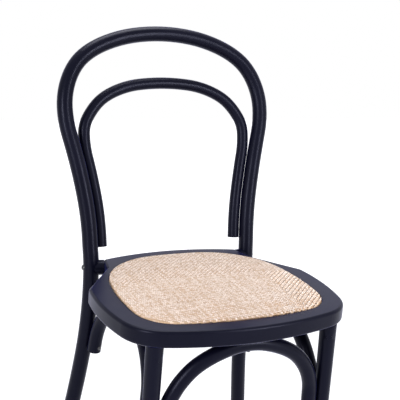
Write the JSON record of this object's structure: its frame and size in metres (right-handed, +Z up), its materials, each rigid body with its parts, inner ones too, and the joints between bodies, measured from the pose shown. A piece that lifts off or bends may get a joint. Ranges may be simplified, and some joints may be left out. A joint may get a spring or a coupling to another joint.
{
  "type": "bistro chair",
  "caption": "Bentwood bistro chair with a looped back of bent round rods, a rounded wooden seat frame with a woven rattan pad, and arched braces between round legs.",
  "frame": {"origin": "on the floor, at the middle of the chair's width and depth", "axes": "+Z up, +X to the right seen from the front, the chair faces -Y"},
  "size_m": [0.4322, 0.4906, 0.8785],
  "materials": {
    "black_wood": "satin black lacquer on bent beech",
    "rattan": "natural close-woven rattan cane, matt with a light sheen",
    "foam": "firm seat foam",
    "plywood": "bare plywood",
    "glide_plastic": "black polyamide",
    "brass_insert": "plain",
    "black_steel": "black painted screw heads",
    "zinc_steel": "zinc plated"
  },
  "bodies": {
    "root": {"back_hoop": "black_wood", "inner_hoop": "black_wood", "hoop_screws": "zinc_steel", "hoop_plugs": "black_wood", "seat_frame": "black_wood", "cane_staples": "zinc_steel", "seat_panel": "plywood", "seat_foam": "foam", "cane_cover": "rattan", "front_leg_right": "black_wood", "front_leg_left": "black_wood", "front_leg_pins": "black_wood", "front_leg_studs": "zinc_steel", "front_leg_inserts": "brass_insert", "leg_spacer_right": "black_wood", "leg_spacer_left": "black_wood", "rear_leg_bolts": "black_steel", "rear_leg_nuts": "zinc_steel", "front_arch": "black_wood", "side_arch_right": "black_wood", "side_arch_left": "black_wood", "arch_end_screws": "black_steel", "arch_crown_screws": "black_steel", "panel_screws": "zinc_steel", "glides": "glide_plastic", "glide_nails": "zinc_steel"}
  },
  "joints": []
}
